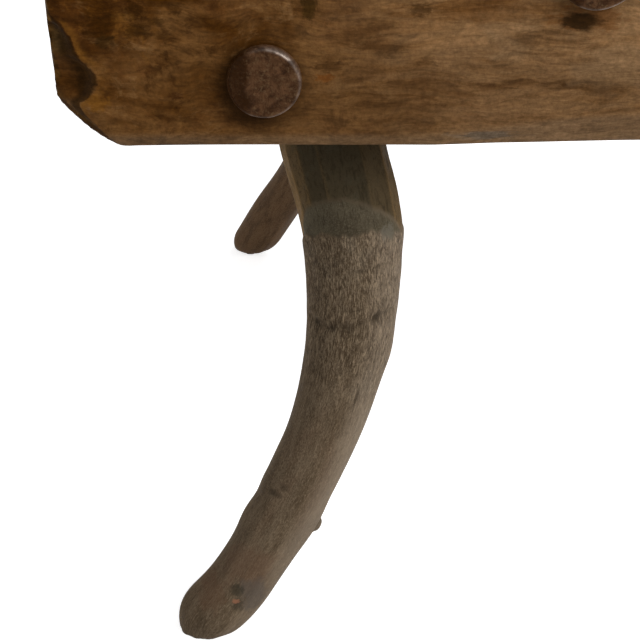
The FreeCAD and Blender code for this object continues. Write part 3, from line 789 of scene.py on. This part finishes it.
def close_seams():
    """Welds the seam and the ends of the grid that was just rolled."""
    bpy.ops.object.mode_set(mode="EDIT")
    bpy.ops.mesh.select_all(action="SELECT")
    bpy.ops.mesh.remove_doubles(threshold=0.00001)
    bpy.ops.mesh.normals_make_consistent(inside=False)
    bpy.ops.object.mode_set(mode="OBJECT")


def make_leg(leg, branch, finish):
    """Rolls a grid into the skin of one leg, from the end of its tenon to its sole."""
    piece, turn, run = add_grid(f"branch_leg_{leg}", COLUMNS, ROWS)

    # The bark, from the shoulder to the floor
    turns = np.linspace(0, 2 * math.pi, SEARCH_TURNS)
    floor = np.interp(turn, turns, branch.level(0, np.linspace(*FLOOR_SEARCH, SEARCH_STEPS), turns))
    top = np.interp(turn, turns, branch.level(shoulder, np.linspace(*SHOULDER_SEARCH, SEARCH_STEPS), turns))
    part = np.clip((run - SHOULDER_END) / (BARK_END - SHOULDER_END), 0, 1)
    part = part + CROWDING * np.sin(math.pi * part)
    share = part + (floor - 1) * part ** 6 + top * (1 - part) ** 6
    radius, marks = branch.skin(share, turn)
    points = branch.centre(share) + radius[:, None] * branch.outward(share, turn)
    points[:, 2] = np.where(part >= 1, 0, np.where(part <= 0, shoulder, points[:, 2]))

    # The tenon above it and the sole below
    socket = branch.centre(0)
    ring = TENON_RADIUS * np.clip(run / CAP_END, 0, 1)
    drop = np.clip((run - CAP_END) / (TENON_END - CAP_END), 0, 1)
    tenon = np.stack([
        socket[0] + ring * np.cos(turn),
        socket[1] + ring * np.sin(turn),
        tenon_top - 0.5 * ease(ring, 14, TENON_RADIUS) - drop * (tenon_top - shoulder),
    ], axis=-1)
    ledge = np.clip((run - TENON_END) / (SHOULDER_END - TENON_END), 0, 1)[:, None]
    points = tenon + (points - tenon) * ledge
    sole = np.clip((run - BARK_END) / (1 - BARK_END), 0, 1)
    rim = points[np.abs(run - BARK_END) < 0.5 / ROWS]
    points += (rim.mean(axis=0) - points) * sole[:, None]
    points[:, 2] = np.maximum(points[:, 2], 0)
    write_points(piece, points)

    marks["end_grain"] = np.maximum(ease(run, TENON_END, CAP_END), ease(sole, 0.05, 0.3))
    girth = np.where(run < TENON_END, ring, STRAIGHT_RADIUS * (1 - sole))
    straight = np.stack([girth * np.cos(turn), girth * np.sin(turn), share * branch.length], axis=-1)
    marks["straight"] = straight / 1000
    carry(piece, marks)
    close_seams()
    bpy.ops.object.shade_smooth()
    dress(piece, f"leg_{leg}", finish)


bark, tint, shader = new_finish("weathered_branch")
rolled = tint.attribute("straight", "Vector")
fleck = tint.speckle(rolled, (2000, 2000, 290), 3.0, 0.65, 0.8)
crackle = tint.speckle(rolled, (560, 560, 130), 4.0, 0.6, 0.8)
crack = tint.add("Math", {0: tint.plus(crackle, -0.5)}, operation="ABSOLUTE").outputs[0]
crack = tint.between(crack, 0.045, 0.005)
grit = tint.speckle(rolled, 1150, 4.0, 0.75)
mottle = tint.speckle(rolled, (110, 110, 80), 5.0, 0.65, 0.4)
cloud = tint.speckle(rolled, (30, 30, 22), 3.0, 0.55, 0.3)
fissured = tint.attribute("fissured")
colour = tint.lay(DARK_BARK, PALE_BARK, mottle, 0.32, 0.68)
colour = tint.lay(colour, WARM_BARK, cloud, 0.52, 0.70, 0.45)
colour = tint.lay(colour, GREY_BARK, cloud, 0.46, 0.32, 0.45)
colour = tint.lay(colour, DARK_BARK_GRIT, grit, 0.46, 0.66, 0.6)
colour = tint.lay(colour, PALE_BARK_GRIT, grit, 0.47, 0.32, 0.5)
# Painted light on the right side
colour = tint.mix(tint.times(tint.attribute("pale"), 0.30), colour, PAINTED_LIGHT_BARK)
colour = tint.mix(tint.times(tint.between(fleck, 0.48, 0.66), fissured, 0.6), colour, PALE_FLECK)
colour = tint.mix(tint.times(tint.between(fleck, 0.49, 0.34), fissured, 0.75), colour, DARK_FLECK)
colour = tint.mix(tint.times(crack, fissured, 0.38), colour, BARK_CRACK)
handled = tint.lay(DARK_HANDLED, PALE_HANDLED, mottle, 0.35, 0.65)
handled = tint.lay(handled, HANDLED_CRACKLE, crackle, 0.47, 0.35, 0.55)
handled = tint.lay(handled, DARK_HANDLED_GRIT, grit, 0.46, 0.66, 0.45)
handled = tint.lay(handled, PALE_HANDLED_GRIT, grit, 0.47, 0.32, 0.45)
colour = tint.mix(tint.times(tint.attribute("handled"), 0.9), colour, handled)
shaved = tint.lay(DARK_SHAVED, PALE_SHAVED, cloud, 0.40, 0.60)
shaved = tint.lay(shaved, SHAVED_GRIT, grit, 0.42, 0.68, 0.6)
shaved = tint.lay(shaved, SHAVED_FLECK, fleck, 0.49, 0.34, 0.5)
shaved = tint.lay(shaved, SHAVED_CRACKLE, crackle, 0.45, 0.33, 0.6)
colour = tint.mix(tint.attribute("shaved"), colour, shaved)
# The flats, their tones partly painted light and shade for the way each faces
pared = tint.mix(tint.attribute("tone"), DARK_FLAT, PALE_FLAT)
pared = tint.lay(pared, FLAT_CRACKLE, crackle, 0.48, 0.66, 0.5)
pared = tint.lay(pared, FLAT_MOTTLE, mottle, 0.50, 0.68, 0.4)
pared = tint.lay(pared, FLAT_GRIT, grit, 0.48, 0.66, 0.4)
colour = tint.mix(tint.attribute("whittled"), colour, pared)
rings = tint.add("TexWave", {"Vector": rolled, "Scale": 150, "Distortion": 2.5, "Detail": 2},
                 wave_type="RINGS", rings_direction="Z").outputs[1]
cut_end = tint.mix(rings, CUT_END_DARK, CUT_END_PALE)
cut_end = tint.lay(cut_end, CUT_END_MOTTLE, mottle, 0.45, 0.7, 0.7)
colour = tint.mix(tint.attribute("end_grain"), colour, cut_end)
# Painted shade in the creases, and the dark marks
colour = tint.mix(tint.times(tint.attribute("dark"), 0.85), colour, CREASE_SHADE_AND_DARK_MARKS)
place = tint.surface()
for centre, size, tone, strength in BARK_PATCHES:
    colour = tint.mix(tint.times(patch(tint, place, centre, size, 1.4), strength), colour, tone)
ridges = tint.times(tint.plus(fleck, tint.times(crack, -0.5)), tint.between(fissured, 0.0, 1.0, 0.1, 1.0))
hills = tint.plus(ridges, tint.plus(tint.times(grit, 0.25), tint.times(mottle, 0.35)))
tint.feed(shader, {
    "Base Color": colour,
    "Specular IOR Level": 0.03,
    "Roughness": tint.between(mottle, 0.3, 0.7, 0.5, 0.72),
    "Normal": tint.relief(hills, 0.0006, 0.8),
})

make_leg("front_left", Branch(
    ((-108, -90, 241, 50), (-110, -106, 204, 56), (-50, -132, 140, 33), (-165, -190, 0, 31)),
    corners=(-171, -151, -132, -108, -61, -31, -8, 25, 62, 100, 140),
    tones=(1.0, 0.4, 0.06, 0.05, 0.16, 0.45, 0.45, 0.3, 0.2, 0.4, 0.6),
    flats_end=((-180, -166, -158, -142, -132, -114, -91, -70, -51, -32, -20, 0, 90, 180),
               (0.40, 0.40, 0.36, 0.325, 0.316, 0.312, 0.318, 0.338, 0.359, 0.384, 0.405, 0.39, 0.35, 0.40)),
    bark_start=((-180, -155, -133, -108, -92, -66, -42, -25, 0, 90, 180),
                (0.40, 0.385, 0.384, 0.393, 0.400, 0.396, 0.413, 0.405, 0.40, 0.405, 0.40)),
    smooth=0,
    twig=(0.860, -6),
    bumps=(
        (0.35, 0, 22, 40, 1.7),
        (0.405, -3, 11, 45, 1.1),
        (0.54, 180, 30, 50, 1.7),
        (0.66, 180, 26, 55, 1.0),
        (0.67, 0, 30, 55, -1.1),
        (0.815, 176, 11, 45, 1.0),
        (0.842, -172, 4, 40, 0.6),
        (0.885, 176, 6, 40, 1.6),
        (0.82, 0, 20, 50, -0.5),
        (0.925, 0, 9, 50, -0.5),
        (0.997, 180, 8, 48, 3.2),
        (0.615, 0, 9, 45, 1.1),
        (0.99, -85, 9, 38, 2.4),
    ),
    creases=(
        ((-160, -130, -107, -88, -74, -58, -32), (0.570, 0.579, 0.579, 0.573, 0.564, 0.555, 0.546),
         2.4, 1.1, 0.85),
        ((-98, -78, -58), (0.468, 0.472, 0.466), 1.0, 0.5, 0.6),
        ((-97, -76), (0.546, 0.543), 0.9, 0.5, 0.7),
    ),
    spots=((0.842, -129, 1.6, 4.0, 0.7), (0.831, -119, 1.4, 3.0, 0.55), (0.685, -64, 4.5, 0.9, 0.7)),
), bark)
make_leg("back_left", Branch(
    ((-108, 90, 241, 46), (-84, 107, 200, 46), (-92, 136, 130, 21), (-164, 192, 0, 31)),
    corners=(-168, -130, -96, -52, -20, 18, 55, 88, 130, 160),
    tones=(0.6, 0.3, 0.1, 0.4, 0.7, 0.3, 0.5, 0.2, 0.4, 0.6),
    flats_end=((-180, -90, 0, 90, 180), (0.34, 0.33, 0.36, 0.35, 0.34)),
    bark_start=((-180, -120, -60, 0, 60, 120, 180), (0.37, 0.40, 0.36, 0.41, 0.37, 0.39, 0.37)),
    smooth=0.85,
    twig=(0.70, 150),
    bumps=((0.88, 158, 18, 55, 1.8), (1.0, 180, 12, 70, -1.0)),
    heel=8,
), bark)
make_leg("front_right", Branch(
    ((108, -90, 241, 49), (124, -100, 204, 54), (84, -142, 132, 31), (170, -192, 0, 31)),
    corners=(-160, -128, -84, -50, -22, 12, 52, 84, 120, 158),
    tones=(0.3, 0.6, 0.1, 0.3, 0.7, 0.4, 0.2, 0.5, 0.3, 0.6),
    flats_end=((-180, -90, 0, 90, 180), (0.35, 0.325, 0.34, 0.36, 0.35)),
    bark_start=((-180, -140, -80, -20, 40, 100, 180), (0.40, 0.36, 0.385, 0.36, 0.41, 0.37, 0.40)),
    smooth=0.1,
    twig=(0.72, -150),
    creases=(((-140, -60, 20), (0.60, 0.59, 0.605), 2.2, 0.9, 0.7),),
    spots=((0.66, -100, 4, 3, 0.8), (0.83, -60, 3, 4, 0.7)),
), bark)
make_leg("back_right", Branch(
    ((108, 90, 241, 47), (102, 116, 198, 50), (156, 128, 128, 29), (163, 190, 0, 31)),
    corners=(-172, -138, -98, -64, -24, 10, 46, 82, 124, 156),
    tones=(0.5, 0.2, 0.4, 0.6, 0.1, 0.4, 0.3, 0.6, 0.2, 0.4),
    flats_end=((-180, -90, 0, 90, 180), (0.33, 0.35, 0.34, 0.33, 0.33)),
    bark_start=((-180, -110, -50, 20, 90, 150, 180), (0.365, 0.40, 0.36, 0.39, 0.365, 0.41, 0.365)),
    smooth=0.2,
    twig=(0.55, 60),
    creases=(((40, 100, 160), (0.52, 0.53, 0.515), 2.2, 0.9, 0.7),),
    spots=((0.78, 100, 4, 3, 0.8),),
), bark)


# Wedges: riven slips of pale wood driven into the saw cut of each tenon and trimmed off level with the seat.
# Only their bruised ends show.
WEDGE_PROUD = 0.9
# The lower end's share of the thickness at the top
WEDGE_THIN_END = 0.24
WEDGE_EDGE = 0.4
DARK_WEDGE = (104, 74, 42)
PALE_WEDGE = (158, 122, 78)
BRUISED_WEDGE = (78, 54, 30)


def copy_piece(pattern, name, shift):
    """A copy of a piece with its own mesh, shifted by millimetres."""
    piece = pattern.copy()
    piece.data = pattern.data.copy()
    piece.name = name
    piece.data.name = name
    bpy.context.collection.objects.link(piece)
    write_points(piece, read_points(piece) + np.array(shift))
    return piece


wedge_low, wedge_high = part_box("wedge_front_left")
wedge_top = wedge_high + Vector((0, 0, WEDGE_PROUD / 1000))
wedge = add_block("wedge_pattern", wedge_low, wedge_top)
bpy.ops.object.mode_set(mode="EDIT")
bpy.ops.mesh.select_all(action="SELECT")
bpy.ops.mesh.subdivide(number_cuts=7)
bpy.ops.mesh.bevel(offset=WEDGE_EDGE / 1000, segments=1, affect="EDGES", offset_type="OFFSET")
bpy.ops.object.mode_set(mode="OBJECT")
points = read_points(wedge)
up = np.clip((points[:, 2] / 1000 - wedge_low.z) / (wedge_top.z - wedge_low.z), 0, 1)
middle = (wedge_low.x + wedge_top.x) * 500
points[:, 0] = middle + (points[:, 0] - middle) * (WEDGE_THIN_END + (1 - WEDGE_THIN_END) * up)
write_points(wedge, points)
bpy.ops.object.shade_smooth_by_angle(angle=math.radians(40))

wedge_wood, tint, shader = new_finish("riven_wedge_wood")
place = tint.surface()
pores = tint.speckle(place, (900, 420, 40))
colour = tint.lay(DARK_WEDGE, PALE_WEDGE, pores, 0.35, 0.65)
colour = tint.lay(colour, BRUISED_WEDGE, tint.speckle(place, 60), 0.5, 0.7, 0.6)
tint.feed(shader, {
    "Base Color": colour,
    "Specular IOR Level": 0.1,
    "Roughness": 0.6,
    "Normal": tint.relief(pores, 0.0003, 0.7),
})
for leg in LEGS:
    low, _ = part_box(f"wedge_{leg}")
    piece = copy_piece(wedge, f"driven_wedge_{leg}", (low - wedge_low) * 1000)
    points = read_points(piece)
    points += unevenness(points, (5, 5, 9))[:, None] * np.array((0.25, 0.2, 0.25))
    write_points(piece, points)
    dress(piece, f"wedge_{leg}", wedge_wood)
bpy.data.objects.remove(wedge)


# Bolts: forged iron, run from front to back through the seat beside the tenons so that it can't split.
# The round heads are hammered flat, rubbed bright at the rim and painted with a highlight there, and the
# tails are cut with a coarse thread.

# The outline of a bolt from the middle of its head to the end of its tail: share of the rows, reach, radius
BOLT_OUTLINE = (
    (0, 0.42, 0.46, 0.49, 0.52, 0.56, 0.58, 0.60, 0.62, 0.95, 0.97, 1),
    (-155.3, -154.8, -154.3, -153.4, -152.0, -150, -149.5, -149.5, 148, 165, 166.5, 166.5),
    (0, 14.1, 14.9, 15.35, 15.6, 15.6, 15.4, 6, 6, 6, 4.6, 0),
)
BOLT_COLUMNS = 72
BOLT_ROWS = 150
THREAD_START = 148
THREAD_PITCH = 2.2
THREAD_DEPTH = 0.9
RIM_RADIUS = 14.85
RIM_WIDTH = 0.55
# The side of each head's rim where its painted highlight is brightest, in degrees from the right
RIM_HIGHLIGHT_ANGLES = {"left": 58, "middle": -72, "right": 40}
# How much of its round each head keeps at the bottom, where the hammer flattened some
LOWER_RIM = {"left": 1.0, "middle": 0.86, "right": 0.95}
DARK_IRON = (50, 29, 13)
BROWN_IRON = (92, 63, 41)
RUSTY_PIT = (112, 88, 62)
DARK_PIT = (34, 19, 7)
# Rubbed bright iron, also the colour of the painted highlight on the rims
BRIGHT_IRON = (164, 153, 144)
# Painted shade on the left of each head
PAINTED_HEAD_SHADE = (47, 24, 2)

bolt, turn, run = add_grid("bolt_pattern", BOLT_COLUMNS, BOLT_ROWS)
reach = np.interp(run, BOLT_OUTLINE[0], BOLT_OUTLINE[1])
radius = np.interp(run, BOLT_OUTLINE[0], BOLT_OUTLINE[2])
thread = np.abs(2 * ((reach / THREAD_PITCH - turn / (2 * math.pi)) % 1) - 1)
radius -= ease(reach, THREAD_START, THREAD_START + 1) * ease(radius, 4, 5.5) * THREAD_DEPTH * thread
write_points(bolt, np.stack([radius * np.cos(turn), reach, radius * np.sin(turn)], axis=-1))
close_seams()
bpy.ops.object.shade_smooth_by_angle(angle=math.radians(35))

iron, tint, shader = new_finish("forged_black_iron")
turned = tint.attribute("turned", "Vector")
blotch = tint.speckle(turned, 170, 4.0, 0.6, 0.4)
pitting = tint.speckle(turned, 700, 4.0, 0.65)
colour = tint.lay(DARK_IRON, BROWN_IRON, blotch, 0.32, 0.68)
colour = tint.lay(colour, RUSTY_PIT, pitting, 0.50, 0.70, 0.5)
colour = tint.lay(colour, DARK_PIT, pitting, 0.46, 0.34, 0.45)
# Wear, and the painted highlight on the rims
wear_and_highlight = tint.times(tint.attribute("wear_and_highlight"), tint.between(blotch, 0.35, 0.6, 0.3, 1))
colour = tint.mix(tint.times(wear_and_highlight, 0.75), colour, BRIGHT_IRON)
# Painted shade on the left of the heads
head_shade = tint.times(tint.attribute("head_shade"), tint.between(pitting, 0.35, 0.7, 1, 0.7))
tint.feed(shader, {
    "Base Color": tint.mix(head_shade, colour, PAINTED_HEAD_SHADE),
    "Specular IOR Level": 0.04,
    "Metallic": tint.between(wear_and_highlight, 0, 1, 0.0, 0.8),
    "Roughness": tint.times(tint.between(pitting, 0.3, 0.7, 0.36, 0.58), tint.between(wear_and_highlight, 0, 1, 1, 0.7)),
    "Normal": tint.relief(tint.plus(pitting, blotch), 0.0006, 0.8),
})

for name, bolt_place in bolt_places.items():
    piece = copy_piece(bolt, f"forged_bolt_{name}", bolt_place)
    points = read_points(piece)
    off = points - bolt_place
    from_axis = np.hypot(off[:, 0], off[:, 2])
    face = ease(off[:, 1], -150.5, -152.5)
    head = ease(off[:, 1], -148, -150)
    # The hammer struck the face uneven, slanted its left side, and left the rim out of round
    struck = 0.45 * unevenness(points, (9, 50, 9)) + 0.25 * unevenness(points, (4, 50, 4), 3)
    struck += 0.20 * np.maximum(0, -7.5 - off[:, 0])
    points[:, 1] += face * struck * ease(from_axis, 15.7, 14.5)
    round_off = 0.025 * head * unevenness(points, (14, 60, 14), 5)
    points += off * round_off[:, None] * np.array((1, 0, 1))
    flattened = (1 - LOWER_RIM[name]) * head * ease(-off[:, 2], 0, 12)
    points[:, 2] -= off[:, 2] * flattened
    write_points(piece, points)
    # The rim is rubbed bright and painted with a highlight, strongest on one side, the tail is rubbed a
    # little, and the left of the head is painted dark as shade
    rim_angle = np.degrees(np.arctan2(off[:, 2], off[:, 0]))
    highlight_side = 0.35 * np.maximum(ease(off[:, 0], -8, 2), ease(-off[:, 2], 10, 15))
    highlight_side += 0.65 * np.exp(-((rim_angle - RIM_HIGHLIGHT_ANGLES[name]) / 28) ** 2)
    rim = np.exp(-((from_axis - RIM_RADIUS) / RIM_WIDTH) ** 2) * face * highlight_side
    tail = 0.35 * ease(off[:, 1], 163, 165)
    shade_edge = off[:, 0] + 1.5 * unevenness(points, (5, 5, 5), 9)
    left_shade = 0.95 * head * ease(shade_edge, -5.6, -8.4)
    carry(piece, {"turned": off / 1000, "wear_and_highlight": np.clip(rim + tail, 0, 1), "head_shade": left_shade})
    dress(piece, f"bolt_{name}", iron)
bpy.data.objects.remove(bolt)


# Washers and nuts: a square plate cut from strap iron lies under each square nut, drawn up hard against the
# back of the seat. Their edges are rubbed.
PLATE_EDGES = {"washer": 0.5, "nut": 1.2}
PLATE_CUTS = 10
PLATE_RIPPLE = 0.18
for kind, edge in PLATE_EDGES.items():
    plate_low, plate_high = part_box(f"{kind}_left")
    plate = add_block(f"{kind}_pattern", plate_low, plate_high)
    bpy.ops.object.mode_set(mode="EDIT")
    bpy.ops.mesh.select_all(action="SELECT")
    bpy.ops.mesh.bevel(offset=edge / 1000, segments=2, affect="EDGES")
    bpy.ops.mesh.subdivide(number_cuts=PLATE_CUTS)
    bpy.ops.object.mode_set(mode="OBJECT")
    bpy.ops.object.shade_smooth_by_angle(angle=math.radians(35))
    for name, bolt_place in bolt_places.items():
        low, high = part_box(f"{kind}_{name}")
        piece = copy_piece(plate, f"square_{kind}_{name}", (low - plate_low) * 1000)
        points = read_points(piece)
        middle = np.array(low + high) * 500
        half = np.array(high - low) * 500
        near_edge = np.sort(np.abs(points - middle) / half, axis=1)[:, 1]
        points += PLATE_RIPPLE * read_normals(piece) * unevenness(points, (6, 6, 6))[:, None]
        write_points(piece, points)
        carry(piece, {
            "turned": (points - bolt_place) / 1000,
            "wear_and_highlight": 0.5 * ease(near_edge, 0.86, 0.99),
            "head_shade": np.zeros(len(points)),
        })
        dress(piece, f"{kind}_{name}", iron)
    bpy.data.objects.remove(plate)


# Studio: a plain white floor that keeps a faint shadow, soft light from the right, weaker ones from
# the left and the back, and the camera close to the front left corner, looking down at it.

# The floor's size is in metres, and its white is as the shader takes it. It glows only where it is seen
FLOOR_SIZE = 14
FLOOR_WHITE = (0.86, 0.86, 0.86, 1)
FLOOR_GLOW = 0.74
# The world's strength as light on the stool, and where it is seen
WORLD_LIGHT = 0.22
WORLD_SEEN = 0.97
# How wide the lamps are in metres, and the name, place and aim in metres, and watts of each
LAMP_SIZE = 0.8
LAMPS = (
    ("right_window", (1.05, -0.65, 0.95), (-0.05, -0.12, 0.17), 20),
    ("left_window", (-1.3, -0.35, 0.75), (-0.1, -0.1, 0.17), 3.8),
    ("back_window", (0.5, 1.4, 0.9), (0, 0, 0.2), 7),
)
# The camera's place in metres, its tilt in degrees from straight down, and its focal length and the
# picture's width in pixels
EYE = (-0.1104, -0.654, 0.470)
TILT = 57.8
FOCAL_PIXELS = 1287
PICTURE_PIXELS = 640
SENSOR_WIDTH = 36


def seen(finish):
    """1 for what the camera sees, straight or by way of gloss or glass, and 0 for what only gives light."""
    rays = finish.add("LightPath", {}).outputs
    return finish.plus(rays["Is Camera Ray"], finish.plus(rays["Is Glossy Ray"], rays["Is Transmission Ray"]))


bpy.ops.object.select_all(action="DESELECT")
bpy.ops.mesh.primitive_plane_add(size=FLOOR_SIZE, location=(0, 0, 0))
floor = name_new_piece("studio_floor")
floor_paint, tint, shader = new_finish("white_floor")
tint.feed(shader, {"Base Color": FLOOR_WHITE, "Roughness": 0.9})
glow = tint.add("Emission", {"Strength": tint.times(seen(tint), FLOOR_GLOW)}).outputs[0]
both = tint.add("AddShader", {0: shader.outputs[0], 1: glow}).outputs[0]
tint.feed(tint.tree.nodes["Material Output"], {"Surface": both})
floor.data.materials.append(floor_paint)

world = bpy.data.worlds.new("studio")
bpy.context.scene.world = world
world.use_nodes = True
tint = Finish(world.node_tree)
strength = tint.between(seen(tint), 0, 1, WORLD_LIGHT, WORLD_SEEN)
tint.feed(world.node_tree.nodes["Background"], {"Color": (1, 1, 1, 1), "Strength": strength})

for name, spot, aim, power in LAMPS:
    bpy.ops.object.light_add(type="AREA", location=spot)
    lamp = bpy.context.object
    lamp.name = name
    lamp.data.size = LAMP_SIZE
    lamp.data.energy = power
    lamp.rotation_euler = (Vector(aim) - Vector(spot)).to_track_quat("-Z", "Y").to_euler()

bpy.ops.object.camera_add(location=EYE, rotation=(math.radians(TILT), 0, 0))
camera = bpy.context.object
camera.data.sensor_width = SENSOR_WIDTH
camera.data.lens = SENSOR_WIDTH * FOCAL_PIXELS / PICTURE_PIXELS
camera.data.clip_start = 0.01
bpy.context.scene.camera = camera
bpy.context.scene.view_settings.view_transform = "Standard"
